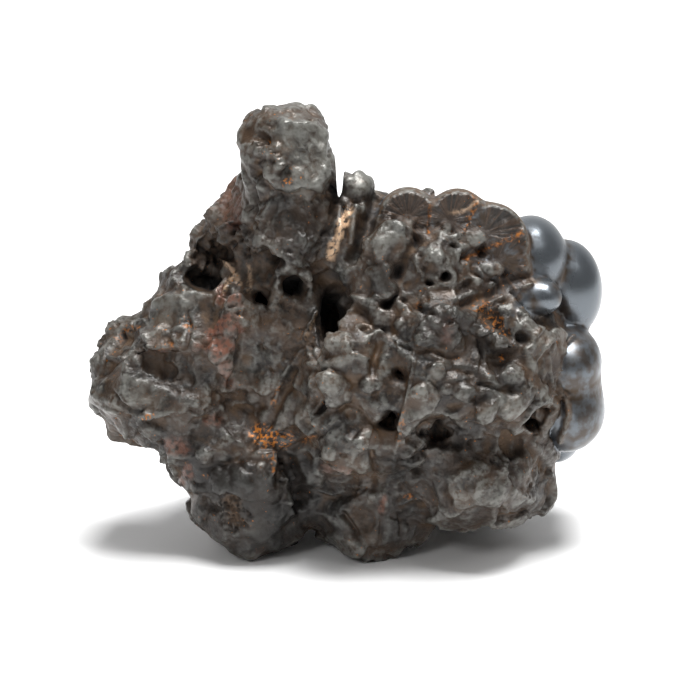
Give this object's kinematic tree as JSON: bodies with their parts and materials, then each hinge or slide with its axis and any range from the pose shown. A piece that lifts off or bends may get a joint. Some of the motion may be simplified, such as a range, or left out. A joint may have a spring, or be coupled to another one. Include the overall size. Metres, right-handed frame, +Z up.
{
  "type": "botryoidal hematite specimen",
  "caption": "Hand specimen of botryoidal hematite: a rough, pitted broken side with a standing block, backed and ended by a crust of round glossy domes.",
  "frame": {"origin": "on the surface the specimen stands on, under the middle of its box", "axes": "+Z up, +X to the right along the longest side as seen from the broken side, -Y out of the broken side"},
  "size_m": [0.0768, 0.0428, 0.0672],
  "materials": {
    "hematite": "dark grey-brown broken stone with a dull sheen; steel-black glossy domes at the right end and the back"
  },
  "bodies": {
    "root": {"hematite": "hematite"}
  },
  "joints": []
}
